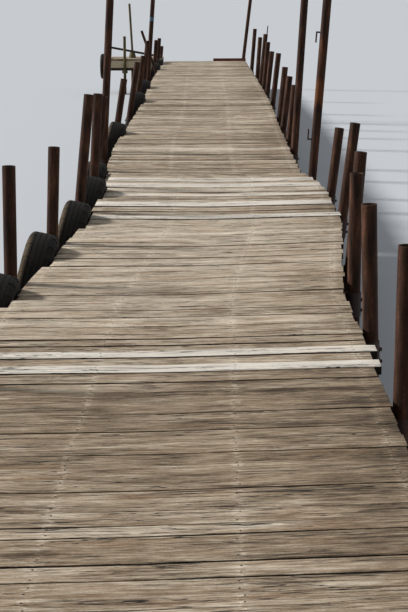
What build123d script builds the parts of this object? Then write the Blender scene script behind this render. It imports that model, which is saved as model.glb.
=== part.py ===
from build123d import *
import math
import os

# A weathered plank jetty on steel pipe piles, with tyres lashed along its left side.
# Millimetres. X is to the right and Y away from the shore, Z is up from the piles' feet.

# The run of the deck, in like bays, each its own section of carpentry
bay_length = 4880
bay_gap = 10
deck_width = 1830
deck_height = 650
board_thickness = 38

# How each bay has moved, at its start, middle and end: sideways, up, and the twist of its edges
bay_drift = [(-110, -103, -84), (-90, 118, 138), (35, 0, 15), (15, 35, 10), (10, -10, -15), (-20, -40, -25)]
bay_rise = [(0, 0, 0), (-30, -10, 15), (-70, 0, 0), (0, 20, 55), (55, 55, 45), (45, 20, -25)]
right_edge_lift = [(25, 30, 27), (35, 30, 12), (10, 10, 5), (5, 5, 5), (5, 5, 5), (5, 5, 5)]
left_edge_drop = [(15, 15, 10), (10, 0, -12), (0, 0, 0), (5, 5, 5), (5, 5, 5), (5, 5, 5)]

# Timber below the deck
stringer_thickness = 38
stringer_depth = 184
inner_stringer_offset = 300
outer_stringer_inset = 65
beam_width = 89
beam_depth = 140
beam_end_inset = 240
header_thickness = 38
joint_board_thickness = 38
end_board_stand_up = 60
end_board_start = 180
seat_gap = 0.2

# Steel pipe piles by bay: distance along the bay, height above the deck, lean to the right in degrees
pile_diameter = 76
pile_wall = 5.5
right_pile_gap = 18
left_pile_gap = 45
right_piles = [
    [(700, 600, 1.0), (2960, 620, 0), (4180, 594, -2.2)],
    [(480, 604, 0), (1220, 632, 3.5), (2940, 636, 6.5), (4060, 483, 6.2)],
    [(3150, 570, 4.9), (4550, 580, 6.0)],
    [(780, 620, 5.2), (2980, 670, 6.0), (4560, 600, 5.7)],
    [(880, 690, 4.8), (2000, 780, 5.2), (3700, 670, 3.8)],
    [(1600, 760, 4.2)],
]
left_piles = [
    [(1050, 620, 2.0), (3300, 640, 1.0)],
    [(520, 682, 0.8), (1720, 637, 2.5), (2920, 870, 6.0), (4100, 765, 3.8)],
    [(700, 700, 7.3), (3900, 600, 9.0)],
    [(1440, 659, 9.0), (3250, 630, 8.8)],
    [(650, 730, 6.3)],
    [(1100, 560, 4.1), (3020, 550, 4.2), (4500, 350, 4.7)],
]

# Tall pipe poles by bay: name, side, distance along the bay, lean to the right in degrees
tall_pole_height = 2600
tall_poles = [
    [],
    [],
    [
        ("hooked_tall_pole", "right", 95, 3.8),
        ("right_tall_pole", "right", 2200, 3.0),
        ("left_tall_pole", "left", 1960, 3.3),
    ],
    [],
    [("far_left_tall_pole", "left", 2780, 4.0)],
    [],
]
corner_pole_lean = 6.5
corner_pole_offset = 860

# The steel bracket that joins each pile to the edge stringer
sleeve_wall = 5
sleeve_height = 140
sleeve_below_deck = 78
sleeve_clearance = 0.3
bracket_plate_thickness = 8
bracket_plate_width = 110
bracket_web_thickness = 12
weld_overlap = 2

# Hooks of bent rod on one tall pole, the upper turned down and the lower turned up
hooked_poles = ["hooked_tall_pole"]
hook_rod_diameter = 14
hook_reach = 30
hook_length = 90
upper_hook_height = 1300
lower_hook_height = 370

# Tyres, each against its pile on the shore side, leaning in over a notch in the deck's edge
tyre_diameter = 610
tyre_width = 190
tyre_rim_diameter = 350
tyre_bead_width = 120
tyre_wall = 14
tyre_shoulder = 0.12
tyre_lean = 13
tyre_centre_below_deck = 170
tyre_deck_gap = 4
tyre_notch_depth = 42
tyre_notch_margin = 12
tyre_pile_gap = 0.3
tyre_edge_readings = 8
bare_left_piles = [[], [], [], [1440], [], [4500]]

# The lashing that ties a tyre to its pile
lashing_height = 20
lashing_thickness = 7
lashing_below_deck = 72
lashing_in_hole = 50
lashing_corner = 30
lashing_gap = 0.3

# The small landing beside the last bay, on the left
landing_start = 3250
landing_length = 1050
landing_width = 1150
landing_rise = 104
landing_frame_thickness = 38
landing_frame_depth = 210
landing_fascia_depth = 150
landing_post_diameter = 60
landing_post_height = 480
landing_post_from_deck = 800
landing_back_post_from_deck = 700
landing_collar_diameter = 120
landing_collar_height = 50
signal_post_diameter = 48
signal_post_height = 1160
signal_post_lean = -3
signal_post_from_deck = 665
signal_post_foot = 170
signal_post_foot_top = 105
signal_post_foot_height = 120
rail_size = 45
rail_setback = 150
rail_outer_height = 270
rail_inner_height = 60
landing_tyre_diameter = 540

# A loose stake leaning out from the deck's edge, and a rod standing in one pile
stake_diameter = 50
stake_position = 300
stake_height = 800
stake_foot_below_deck = 140
stake_lean = -19
loose_rod_diameter = 18
loose_rod_stand_up = 140
loose_rod_depth = 300
loose_rod_piles = [[], [], [], [], [2000], []]

bay_count = len(bay_drift)
half_width = deck_width / 2
outer_stringer_offset = half_width - outer_stringer_inset
pile_radius = pile_diameter / 2
sleeve_bore = pile_radius + sleeve_clearance
sleeve_radius = sleeve_bore + sleeve_wall
right_pile_offset = half_width + right_pile_gap + pile_radius
left_pile_offset = half_width + left_pile_gap + pile_radius
stringer_top = board_thickness + seat_gap
stringer_bottom = stringer_top + stringer_depth
outer_face = outer_stringer_offset + stringer_thickness / 2

pieces = {}
tyre_notches = []


def add(name, *solids):
    """Put solids in the node of this name."""
    pieces.setdefault(name, []).extend(solids)


def between(values, along):
    """A bay's value at a distance from its start, from its start, middle and end values."""
    start, middle, end = values
    half = bay_length / 2
    if along <= half:
        return start + (middle - start) * along / half
    return middle + (end - middle) * (along - half) / half


def deck_point(bay, along, across, depth):
    """The place on a bay at this distance along it, across it and below its top."""
    edge_change = right_edge_lift if across > 0 else left_edge_drop
    tilt = between(edge_change[bay], along) * across / half_width
    x = between(bay_drift[bay], along) + across
    y = bay * bay_length + along
    z = deck_height + between(bay_rise[bay], along) + tilt - depth
    return Vector(x, y, z)


def section(bay, along, left, right, top, bottom):
    """The cross-section of a timber that follows the deck from left to right."""
    sides = [left, 0, right] if left < 0 < right else [left, right]
    upper = [deck_point(bay, along, across, top) for across in sides]
    lower = [deck_point(bay, along, across, bottom) for across in reversed(sides)]
    return make_face(Polyline(*upper, *lower, close=True))


def strip(bay, start, end, left, right, top, bottom):
    """A straight or twisted timber that follows the deck between two distances along a bay."""
    middle = bay_length / 2
    stations = [start, middle, end] if start < middle < end else [start, end]
    return loft([section(bay, along, left, right, top, bottom) for along in stations], ruled=True)


def make_deck(bay):
    name = f"deck_bay_{bay + 1}"
    add(name, strip(bay, bay_gap / 2, bay_length - bay_gap / 2, -half_width, half_width, 0, board_thickness))


def make_stringers(bay):
    """Four timbers between the boards across the bay's ends."""
    joint = joint_board_thickness / 2 + seat_gap
    start = joint if bay > 0 else bay_gap / 2 + header_thickness + seat_gap
    end = bay_length - joint if bay < bay_count - 1 else bay_length - bay_gap / 2
    half = stringer_thickness / 2
    for offset in (inner_stringer_offset, outer_stringer_offset):
        for centre in (-offset, offset):
            timber = strip(bay, start, end, centre - half, centre + half, stringer_top, stringer_bottom)
            add(f"stringers_bay_{bay + 1}", timber)


def make_beams(bay):
    top = stringer_bottom + seat_gap
    for centre in (beam_end_inset, bay_length / 2, bay_length - beam_end_inset):
        start = centre - beam_width / 2
        end = centre + beam_width / 2
        timber = strip(bay, start, end, -outer_face, outer_face, top, top + beam_depth)
        add(f"cross_beams_bay_{bay + 1}", timber)


def make_joint_board(bay):
    """The board across the joint before a bay, seated under the lower of the two decks."""
    here = (bay, 0)
    there = (bay - 1, bay_length)
    edges = (-half_width, 0, half_width)
    heights = {end: sum(deck_point(*end, across, 0).Z for across in edges) for end in (here, there)}
    low, high = sorted((here, there), key=heights.get)
    step = deck_point(*high, 0, 0).X - deck_point(*low, 0, 0).X
    left = min(0, step) - outer_face
    right = max(0, step) + outer_face
    half = joint_board_thickness / 2
    overlap = 0
    for (side, along), offset in ((there, -half), (here, half)):
        for across in edges:
            board_top = deck_point(low[0], low[1] + offset, across, 0).Z
            overlap = max(overlap, board_top - deck_point(side, along + offset, across, 0).Z)
    board = strip(low[0], low[1] - half, low[1] + half, left, right, stringer_top + overlap, stringer_bottom)
    add("joint_boards", board)


def make_headers():
    start = bay_gap / 2
    shore = strip(0, start, start + header_thickness, -outer_face, outer_face, stringer_top, stringer_bottom)
    add("shore_header", shore)
    end = bay_length - bay_gap / 2 + seat_gap
    last = bay_count - 1
    back = end + header_thickness
    plain_end = end_board_start - seat_gap
    add("far_header", strip(last, end, back, -half_width, plain_end, 0, stringer_bottom))
    upstand = strip(last, end, back, end_board_start, half_width, -end_board_stand_up, stringer_bottom)
    add("far_end_board", upstand)


def pile_across(side):
    """How far a pile's axis is across from the deck's middle."""
    return right_pile_offset if side == "right" else -left_pile_offset


def pile_plane(side, bay, along, lean):
    """The plane across a pile's axis where it passes the top of the deck."""
    return leaning_plane(deck_point(bay, along, pile_across(side), 0), lean)


def leaning_plane(centre, lean):
    """A plane whose normal leans to the right."""
    angle = math.radians(lean)
    across = (math.cos(angle), 0, -math.sin(angle))
    upward = (math.sin(angle), 0, math.cos(angle))
    return Plane(origin=centre, x_dir=across, z_dir=upward)


def rod(plane, radius, low, high):
    """A round bar along a plane's normal, from low to high."""
    bar = Cylinder(radius, high - low, align=(Align.CENTER, Align.CENTER, Align.MIN))
    return plane * Pos(0, 0, low) * bar


def pipe_pile(plane, height, radius):
    """A pipe from the level of the feet to its height above the deck, open at the top."""
    below = -2 * plane.origin.Z
    pipe = rod(plane, radius, below, height) - rod(plane, radius - pile_wall, below, height)
    return split(pipe, bisect_by=Plane.XY, keep=Keep.TOP)


def make_bracket(side, bay, along, lean):
    """A pipe sleeve on a web and a plate that is bolted to the edge stringer."""
    plane = pile_plane(side, bay, along, lean)
    low = sleeve_below_deck + sleeve_height
    near = outer_face + seat_gap
    far = near + bracket_plate_thickness
    outward = 1 if side == "right" else -1
    plate_sides = sorted((outward * near, outward * far))
    web_sides = sorted((outward * (far - weld_overlap), pile_across(side)))
    half_plate = bracket_plate_width / 2
    half_web = bracket_web_thickness / 2
    plate = strip(bay, along - half_plate, along + half_plate, *plate_sides, sleeve_below_deck, low)
    web = strip(bay, along - half_web, along + half_web, *web_sides, sleeve_below_deck, low)
    bracket = plate + web + rod(plane, sleeve_radius, -low, -sleeve_below_deck)
    add(f"{side}_brackets", bracket - rod(plane, sleeve_bore, -2 * low, 0))


def tyre_solid(diameter):
    """A worn car tyre on its side: a hollow shell round the Z axis."""
    tread = diameter / 2
    rim = tyre_rim_diameter / 2
    middle = (rim + tread) / 2
    half = tyre_width / 2
    bead = tyre_bead_width / 2
    chamfer = tyre_shoulder * tyre_width
    upper = [(rim, bead), (middle, half), (tread - chamfer, half), (tread, half - chamfer)]
    lining = [
        (rim, bead - tyre_wall),
        (middle, half - tyre_wall),
        (tread - chamfer - tyre_wall, half - tyre_wall),
        (tread - tyre_wall, half - chamfer),
    ]
    outline = upper + [(radius, -height) for radius, height in reversed(upper)]
    inner = [(radius, -height) for radius, height in lining] + lining[::-1]
    profile = make_face(Polyline(*outline, *inner, close=True))
    return revolve(Plane.XZ * profile, Axis.Z)


def left_edge(y):
    """How far right the deck's left edge is, at a distance from the shore."""
    bay = min(int(y // bay_length), bay_count - 1)
    return deck_point(bay, y - bay * bay_length, -half_width, 0).X


def tyre_centre(bay, along):
    """The centre of the tyre that stands against the left pile at this place, clear of the deck."""
    lean = math.radians(tyre_lean)
    radius = tyre_diameter / 2
    pile = deck_point(bay, along, pile_across("left"), 0)
    y = pile.Y - sleeve_radius - tyre_pile_gap - radius
    steps = range(-tyre_edge_readings, tyre_edge_readings + 1)
    edge = min(left_edge(y + radius * step / tyre_edge_readings) for step in steps)
    half_face = tyre_width / 2 / math.cos(lean)
    overhang = tyre_centre_below_deck * math.tan(lean)
    face = edge + tyre_notch_depth - tyre_deck_gap
    return Vector(face - half_face - overhang, y, pile.Z - tyre_centre_below_deck)


def make_tyre(bay, along):
    centre = tyre_centre(bay, along)
    lean = 90 + tyre_lean
    add(f"tyres_bay_{bay + 1}", Pos(*centre) * Rot(0, lean, 0) * tyre_solid(tyre_diameter))
    tyre_notches.append(tyre_notch(centre))


def tyre_notch(centre):
    """What is cut from the deck's left edge for the tyre with this centre, parallel to its face."""
    lean = math.radians(tyre_lean)
    reach = (tyre_centre_below_deck - board_thickness) / math.cos(lean)
    half_chord = math.sqrt((tyre_diameter / 2) ** 2 - reach**2) + tyre_notch_margin
    right = tyre_width / 2 + tyre_deck_gap * math.cos(lean)
    cut = block(right - deck_width, right, -half_chord, half_chord, 0, tyre_diameter / 2)
    return leaning_plane(centre, tyre_lean) * cut


def cut_tyre_notches():
    """Cut each deck back where a tyre stands in it."""
    for bay in range(bay_count):
        start = bay * bay_length
        name = f"deck_bay_{bay + 1}"
        deck = pieces[name][0]
        for notch in tyre_notches:
            reach = notch.bounding_box()
            if reach.max.Y > start and reach.min.Y < start + bay_length:
                deck = deck - notch
        pieces[name] = [deck]


def make_lashing(bay, along):
    """A band of rope turns round the pile and the nearer wall of its tyre."""
    centre = tyre_centre(bay, along)
    pile = deck_point(bay, along, pile_across("left"), 0)
    low = pile.Z - lashing_below_deck
    high = low + lashing_height
    slope = math.tan(math.radians(tyre_lean))
    half_face = tyre_width / 2 / math.cos(math.radians(tyre_lean))
    left = centre.X - half_face + (low - centre.Z) * slope - lashing_gap
    tyre_side = centre.X + half_face + (high - centre.Z) * slope
    right = max(tyre_side, pile.X + pile_radius + lashing_thickness) + lashing_gap
    far = pile.Y + pile_radius + lashing_gap
    near = centre.Y + lashing_in_hole
    width = right - left
    length = far - near
    around = 2 * lashing_thickness
    outer = RectangleRounded(width + around, length + around, lashing_corner + lashing_thickness)
    inner = RectangleRounded(width, length, lashing_corner)
    band = extrude(outer - inner, lashing_height)
    add("tyre_lashings", Pos((left + right) / 2, (near + far) / 2, low) * band)


def make_piles(bay):
    for side, piles in (("right", right_piles[bay]), ("left", left_piles[bay])):
        for along, height, lean in piles:
            plane = pile_plane(side, bay, along, lean)
            add(f"piles_bay_{bay + 1}", pipe_pile(plane, height, pile_radius))
            make_bracket(side, bay, along, lean)
            if side == "left" and along not in bare_left_piles[bay]:
                make_tyre(bay, along)
                make_lashing(bay, along)
            if side == "right" and along in loose_rod_piles[bay]:
                make_loose_rod(plane, height)


def make_tall_poles(bay):
    for name, side, along, lean in tall_poles[bay]:
        plane = pile_plane(side, bay, along, lean)
        add(name, pipe_pile(plane, tall_pole_height, pile_radius))
        make_bracket(side, bay, along, lean)
        if name in hooked_poles:
            add("pole_hooks", hook(plane, upper_hook_height, -1), hook(plane, lower_hook_height, 1))


def make_corner_pole():
    """The tall pole behind the far end board, in a sleeve on that board."""
    bay = bay_count - 1
    board_face = bay_length - bay_gap / 2 + seat_gap + header_thickness
    along = board_face + seat_gap + bracket_plate_thickness + sleeve_radius
    plane = leaning_plane(deck_point(bay, along, corner_pole_offset, 0), corner_pole_lean)
    low = sleeve_below_deck + sleeve_height
    face = board_face + seat_gap
    half_plate = bracket_plate_width / 2
    left = corner_pole_offset - half_plate
    right = corner_pole_offset + half_plate
    back = face + bracket_plate_thickness + weld_overlap
    plate = strip(bay, face, back, left, right, sleeve_below_deck, low)
    sleeve = rod(plane, sleeve_radius, -low, -sleeve_below_deck) + plate
    add("right_brackets", sleeve - rod(plane, sleeve_bore, -2 * low, 0))
    add("far_right_tall_pole", pipe_pile(plane, tall_pole_height, pile_radius))


def hook(plane, height, direction):
    """A rod that leaves the pole to the left and turns up or down."""
    radius = hook_rod_diameter / 2
    start = plane * Pos(0, 0, height) * Rot(0, -90, 0)
    stub = start * rod(Plane.XY, radius, 0, pile_radius + hook_reach)
    corner = plane * Pos(-pile_radius - hook_reach, 0, height)
    turn = 0 if direction > 0 else 180
    leg = corner * Rot(0, turn, 0) * rod(Plane.XY, radius, 0, hook_length)
    bend = corner * Sphere(radius)
    return stub + leg + bend - rod(plane, pile_radius, height - hook_length, height + hook_length)


def block(left, right, near, far, low, high):
    """A sawn piece between two corners."""
    sawn = Box(right - left, far - near, high - low, align=(Align.MIN, Align.MIN, Align.MIN))
    return Pos(left, near, low) * sawn


def make_landing():
    bay = bay_count - 1
    near = bay * bay_length + landing_start
    far = near + landing_length
    at_deck = deck_point(bay, landing_start, -half_width, 0)
    right = min(at_deck.X, deck_point(bay, landing_start + landing_length, -half_width, 0).X) - seat_gap
    left = right - landing_width
    top = at_deck.Z + landing_rise
    under = top - board_thickness - seat_gap
    low = under - landing_frame_depth
    thick = landing_frame_thickness
    add("landing_deck", block(left, right, near, far, top - board_thickness, top))
    add("landing_fascia", block(left, right, near, near + thick, under - landing_fascia_depth, under))
    front = near + thick + seat_gap
    inside = front + thick + seat_gap
    add("landing_frame",
        block(left, right, front, front + thick, low, under),
        block(left, right, far - thick, far, low, under),
        block(left, left + thick, inside, far - thick - seat_gap, low, under),
        block(right - thick, right, inside, far - thick - seat_gap, low, under))
    radius = landing_post_diameter / 2
    front_plane = Plane(origin=(right - landing_post_from_deck, near - radius - seat_gap, top))
    collar_top = low - seat_gap - top
    collar_low = collar_top - landing_collar_height
    collar = rod(front_plane, landing_collar_diameter / 2, collar_low, collar_top)
    collar -= rod(front_plane, radius - pile_wall, collar_low, collar_top)
    add("landing_posts", pipe_pile(front_plane, landing_post_height, radius) + collar)
    back_plane = Plane(origin=(right - landing_back_post_from_deck, far + radius + seat_gap, top))
    add("landing_posts", pipe_pile(back_plane, 0, radius))
    foot_x = right - signal_post_from_deck
    foot_y = (near + far) / 2
    foot_top = top + seat_gap + signal_post_foot_height
    on_boards = (Align.CENTER, Align.CENTER, Align.MIN)
    cone = Cone(signal_post_foot / 2, signal_post_foot_top / 2, signal_post_foot_height, align=on_boards)
    foot = Pos(foot_x, foot_y, top + seat_gap) * cone
    post_plane = leaning_plane((foot_x, foot_y, foot_top), signal_post_lean)
    post_length = signal_post_height - signal_post_foot_height
    add("signal_post", foot + rod(post_plane, signal_post_diameter / 2, -weld_overlap, post_length))
    make_rail(left, right, near, top)
    tyre_x = left - tyre_width / 2 - tyre_pile_gap
    tyre_z = top - tyre_centre_below_deck
    tyre_y = near + landing_tyre_diameter / 2
    add("landing_tyre", Pos(tyre_x, tyre_y, tyre_z) * Rot(0, 90, 0) * tyre_solid(landing_tyre_diameter))


def make_rail(left, right, near, top):
    """A bar that slopes down across the landing from a short stanchion at its outer end."""
    half = rail_size / 2
    y = near + rail_setback
    slope = (rail_outer_height - rail_inner_height) / (right - left)
    outer_top = top + rail_outer_height
    inner_top = top + rail_inner_height
    points = [
        (left, outer_top), (right, inner_top), (right, inner_top - rail_size), (left, outer_top - rail_size),
    ]
    outline = make_face(Polyline(*[(x, y - half, z) for x, z in points], close=True))
    bar = extrude(outline, rail_size, dir=(0, 1, 0))
    outer_leg_top = outer_top - slope * rail_size - half
    outer_leg = block(left, left + rail_size, y - half, y + half, top + seat_gap, outer_leg_top)
    inner_leg = block(right - rail_size, right, y - half, y + half, top + seat_gap, inner_top - half)
    add("landing_rail", bar + outer_leg + inner_leg)


def make_stake():
    """A pipe stake held against the lower corner of the deck's edge."""
    bay = bay_count - 1
    angle = math.radians(stake_lean)
    radius = stake_diameter / 2
    across = half_width + seat_gap + radius / math.cos(angle) - board_thickness * math.tan(angle)
    plane = leaning_plane(deck_point(bay, stake_position, -across, 0), stake_lean)
    foot = -stake_foot_below_deck
    stake = rod(plane, radius, foot, stake_height) - rod(plane, radius - pile_wall, foot, stake_height)
    add("leaning_stake", stake)


def make_loose_rod(plane, height):
    """A rod that stands in a pile, against the right of its bore."""
    radius = loose_rod_diameter / 2
    aside = pile_radius - pile_wall - radius - sleeve_clearance
    bar = rod(Plane.XY, radius, height - loose_rod_depth, height + loose_rod_stand_up)
    add("loose_rod", plane * Pos(aside, 0, 0) * bar)


def write_parts():
    """Centre the whole on the origin and write each node's file."""
    boxes = [solid.bounding_box() for solids in pieces.values() for solid in solids]
    centre_x = (min(b.min.X for b in boxes) + max(b.max.X for b in boxes)) / 2
    centre_y = (min(b.min.Y for b in boxes) + max(b.max.Y for b in boxes)) / 2
    os.makedirs("parts", exist_ok=True)
    for name, solids in pieces.items():
        centred = Compound([Pos(-centre_x, -centre_y, 0) * solid for solid in solids])
        export_step(centred, f"parts/{name}.step")


for bay in range(bay_count):
    make_deck(bay)
    make_stringers(bay)
    make_beams(bay)
    make_piles(bay)
    make_tall_poles(bay)
    if bay > 0:
        make_joint_board(bay)
make_headers()
make_corner_pole()
make_landing()
make_stake()
cut_tyre_notches()
write_parts()
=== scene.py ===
import math
import random

import bpy
import numpy as np
from mathutils import Matrix, Vector


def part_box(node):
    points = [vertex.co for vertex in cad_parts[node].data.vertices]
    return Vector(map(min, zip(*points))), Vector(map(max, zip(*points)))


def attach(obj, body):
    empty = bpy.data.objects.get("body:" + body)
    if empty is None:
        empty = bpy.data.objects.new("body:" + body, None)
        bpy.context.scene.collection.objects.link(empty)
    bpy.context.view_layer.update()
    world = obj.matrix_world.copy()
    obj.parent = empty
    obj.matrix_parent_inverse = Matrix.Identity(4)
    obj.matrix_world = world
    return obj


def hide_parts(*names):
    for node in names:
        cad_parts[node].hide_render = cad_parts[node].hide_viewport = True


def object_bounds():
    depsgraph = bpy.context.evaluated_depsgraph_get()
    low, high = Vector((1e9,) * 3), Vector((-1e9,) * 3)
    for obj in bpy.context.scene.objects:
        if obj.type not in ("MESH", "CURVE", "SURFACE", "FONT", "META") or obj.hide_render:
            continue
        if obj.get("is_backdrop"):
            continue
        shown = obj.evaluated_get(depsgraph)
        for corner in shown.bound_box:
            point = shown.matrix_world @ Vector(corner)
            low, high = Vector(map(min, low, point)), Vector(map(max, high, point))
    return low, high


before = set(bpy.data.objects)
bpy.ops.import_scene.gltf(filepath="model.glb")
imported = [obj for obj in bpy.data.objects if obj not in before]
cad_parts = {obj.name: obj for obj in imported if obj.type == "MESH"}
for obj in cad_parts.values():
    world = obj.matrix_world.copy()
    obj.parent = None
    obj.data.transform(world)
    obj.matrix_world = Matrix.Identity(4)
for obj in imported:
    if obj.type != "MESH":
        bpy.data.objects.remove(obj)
cad_low, cad_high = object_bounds()


# The studio: a plain pale floor at the level of the piles' feet, a soft lamp from the left and a
# little beyond, and an even pale sky. The camera stands before the near end, at eye height.
eye_back = 2.305
eye_aside = 0.215
eye_height = 2.285
look_down = 13.13
look_left = 0.29
lens_length = 80.7
film_width = 36
floor_reach = 400
floor_beyond = 100
floor_tone = (0.60, 0.62, 0.64)
floor_tone_in_bounces = (0.13, 0.125, 0.12)
sky_tone = (0.91, 0.95, 1.0)
sky_strength = 0.32
lamp_strength = 4.0
lamp_spread = 10
lamp_elevation = 31
lamp_from_beyond = 14
lamp_place = (-8, 0, 8)


class Shade:
    """A socket in a material. Sums on it add Math nodes, and node() adds a node of any kind."""

    # The colour sockets of a Mix node, whose names its number sockets share
    share_socket = 0
    first_colour = 6
    second_colour = 7
    mixed_colour = 2

    def __init__(self, tree, socket=None):
        self.tree = tree
        self.socket = socket

    def node(self, kind, settings=(), sockets=(), output=0):
        made = self.tree.nodes.new(kind)
        for name, value in dict(settings).items():
            if name == "stops":
                ramp = made.color_ramp
                while len(ramp.elements) < len(value):
                    ramp.elements.new(1.0)
                for element, (position, colour) in zip(ramp.elements, value):
                    element.position = position
                    element.color = (*colour, 1.0)
            else:
                setattr(made, name, value)
        for name, value in dict(sockets).items():
            socket = made.inputs[name]
            if isinstance(value, Shade):
                self.tree.links.new(value.socket, socket)
            elif socket.type == "RGBA" and len(value) == 3:
                socket.default_value = (*value, 1.0)
            else:
                socket.default_value = value
        return Shade(self.tree, made.outputs[output])

    def sum(self, operation, first, second=0.0):
        return self.node("ShaderNodeMath", {"operation": operation}, {0: first, 1: second})

    def __add__(self, other):
        return self.sum("ADD", self, other)

    def __sub__(self, other):
        return self.sum("SUBTRACT", self, other)

    def __rsub__(self, other):
        return self.sum("SUBTRACT", other, self)

    def __mul__(self, other):
        return self.sum("MULTIPLY", self, other)

    def __truediv__(self, other):
        return self.sum("DIVIDE", self, other)

    __radd__ = __add__
    __rmul__ = __mul__

    def size(self):
        return self.sum("ABSOLUTE", self)

    def between(self, low, high):
        """0 at low and 1 at high, held outside them."""
        settings = {"interpolation_type": "SMOOTHSTEP"}
        sockets = {"Value": self, "From Min": low, "From Max": high}
        return self.node("ShaderNodeMapRange", settings, sockets)

    def stretched(self, x, y, z, shift=(0.0, 0.0, 0.0)):
        """These coordinates, scaled along each axis."""
        return self.node("ShaderNodeMapping", {}, {"Vector": self, "Scale": (x, y, z), "Location": shift})

    def noise(self, detail=3.0, roughness=0.55, distortion=0.0):
        sockets = {"Vector": self, "Scale": 1.0, "Detail": detail}
        sockets.update({"Roughness": roughness, "Distortion": distortion})
        return self.node("ShaderNodeTexNoise", {}, sockets)

    def attribute(self, name, output="Fac"):
        """What a piece's own attribute holds at a point."""
        return self.node("ShaderNodeAttribute", {"attribute_name": name}, {}, output)

    def along_z(self):
        """The Z of these coordinates."""
        return self.node("ShaderNodeSeparateXYZ", {}, {"Vector": self}, "Z")

    def ramp(self, *stops):
        """A colour from stops, each a share and its colour, by this share."""
        return self.node("ShaderNodeValToRGB", {"stops": stops}, {"Fac": self})

    def mix(self, settings, share, first, second):
        sockets = {self.share_socket: share, self.first_colour: first, self.second_colour: second}
        return self.node("ShaderNodeMix", {"data_type": "RGBA", **settings}, sockets, self.mixed_colour)

    def blend(self, first, second):
        """A colour between two, by this share."""
        return self.mix({}, self, first, second)

    def tint(self, colour, share):
        """This colour multiplied by another, by a share."""
        return self.mix({"blend_type": "MULTIPLY"}, share, self, colour)


def new_finish(name, roughness=0.8, specular=0.3):
    """A material's own shader, a handle on its nodes and its coordinates on the object."""
    material = bpy.data.materials.new(name)
    material.use_nodes = True
    tree = material.node_tree
    shader = tree.nodes["Principled BSDF"]
    shader.inputs["Roughness"].default_value = roughness
    shader.inputs["Specular IOR Level"].default_value = specular
    shades = Shade(tree)
    place = shades.node("ShaderNodeTexCoord", {}, {}, "Object")
    return material, shader, shades, place


def finish_with(shader, shades, colour=None, roughness=None, height=None, relief=0.001):
    """Links what varies to the shader: its colour, its roughness and the height of its surface."""
    links = shades.tree.links
    if colour is not None:
        links.new(colour.socket, shader.inputs["Base Color"])
    if roughness is not None:
        links.new(roughness.socket, shader.inputs["Roughness"])
    if height is not None:
        bump = shades.node("ShaderNodeBump", {}, {"Height": height, "Distance": relief, "Strength": 1.0})
        links.new(bump.socket, shader.inputs["Normal"])


def coat(piece, material):
    """Makes a material the only one of a piece."""
    piece.data.materials.clear()
    piece.data.materials.append(material)


def deselect():
    bpy.ops.object.select_all(action="DESELECT")


def seen_directly(shades):
    """1 where the camera sees a surface, itself, mirrored or through something, and 0 in bounces."""
    seen = shades.node("ShaderNodeLightPath", {}, {}, "Is Camera Ray")
    for ray in ("Is Glossy Ray", "Is Transmission Ray"):
        seen = seen + shades.node("ShaderNodeLightPath", {}, {}, ray)
    return seen


def add_floor():
    deselect()
    bpy.ops.mesh.primitive_plane_add(size=floor_reach, location=(0, floor_beyond, cad_low.z))
    floor = bpy.context.object
    floor.name = "studio_floor"
    material, shader, shades, place = new_finish("studio_floor", roughness=1.0, specular=0.0)
    finish_with(shader, shades, seen_directly(shades).blend(floor_tone_in_bounces, floor_tone))
    coat(floor, material)
    floor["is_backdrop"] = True


def add_light():
    world = bpy.data.worlds.new("pale_sky")
    bpy.context.scene.world = world
    world.use_nodes = True
    background = world.node_tree.nodes["Background"]
    shades = Shade(world.node_tree)
    light = tuple(sky_strength * share for share in sky_tone)
    backdrop = seen_directly(shades).blend(light, floor_tone)
    world.node_tree.links.new(backdrop.socket, background.inputs["Color"])
    background.inputs["Strength"].default_value = 1.0
    deselect()
    bpy.ops.object.light_add(type="SUN", location=lamp_place)
    lamp = bpy.context.object
    lamp.name = "soft_lamp"
    lamp.data.energy = lamp_strength
    lamp.data.angle = math.radians(lamp_spread)
    up = math.radians(lamp_elevation)
    beyond = math.radians(lamp_from_beyond)
    towards = Vector((-math.cos(beyond) * math.cos(up), math.sin(beyond) * math.cos(up), math.sin(up)))
    lamp.rotation_euler = towards.to_track_quat("Z", "Y").to_euler()


def add_camera():
    low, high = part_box("shore_header")
    deselect()
    place = ((low.x + high.x) / 2 + eye_aside, low.y - eye_back, eye_height)
    turn = (math.radians(90 - look_down), 0, math.radians(look_left))
    bpy.ops.object.camera_add(location=place, rotation=turn)
    camera = bpy.context.object
    camera.data.lens = lens_length
    camera.data.sensor_width = film_width
    camera.data.clip_end = 2 * floor_reach
    bpy.context.scene.camera = camera


bpy.context.scene.view_settings.view_transform = "Standard"
add_floor()
add_light()
add_camera()


# The deck boards: rough-sawn softwood, laid flat across the stringers and nailed, then bleached,
# split and worn by weather. Each bay is laid flat and straight here, and then a cage bends it to
# the twist of its slab.
bays = range(1, 7)
board_thickness = 0.038
stock_length = 1.83
stock_width = 0.15
deck_half = stock_length / 2
board_widths = (0.14, 0.184, 0.165, 0.15, 0.12, 0.14, 0.184, 0.15, 0.09)
narrowest_board = 0.08
end_raggedness = 0.012
end_reach_left = 0.003
end_reach_right = 0.006
narrowest_gap = 0.0025
widest_gap = 0.013
board_cup = 0.0014
cup_level = 0.4
board_roll = 0.9
board_yaw = 0.25
lowest_lift = -0.0015
highest_lift = 0.003
pale_lift = 0.006
usual_tone = 0.5
tone_spread = 0.13
stock_kinds = 6
stock_cuts = 22
stock_strips = 6
stock_spacing = (0.6, 0.9)
board_crease = 40
edge_wear = 0.004
edge_roundness = 0.6
# Cloudy wear of a board's top and of its long edges: how strong, how large, and how much squeezed
# along the board while it is applied, which draws it out
top_wear = (0.0032, 0.035, 0.10)
side_wear = (0.0045, 0.05, 0.30)
bay_end_margin = 0.008
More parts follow.
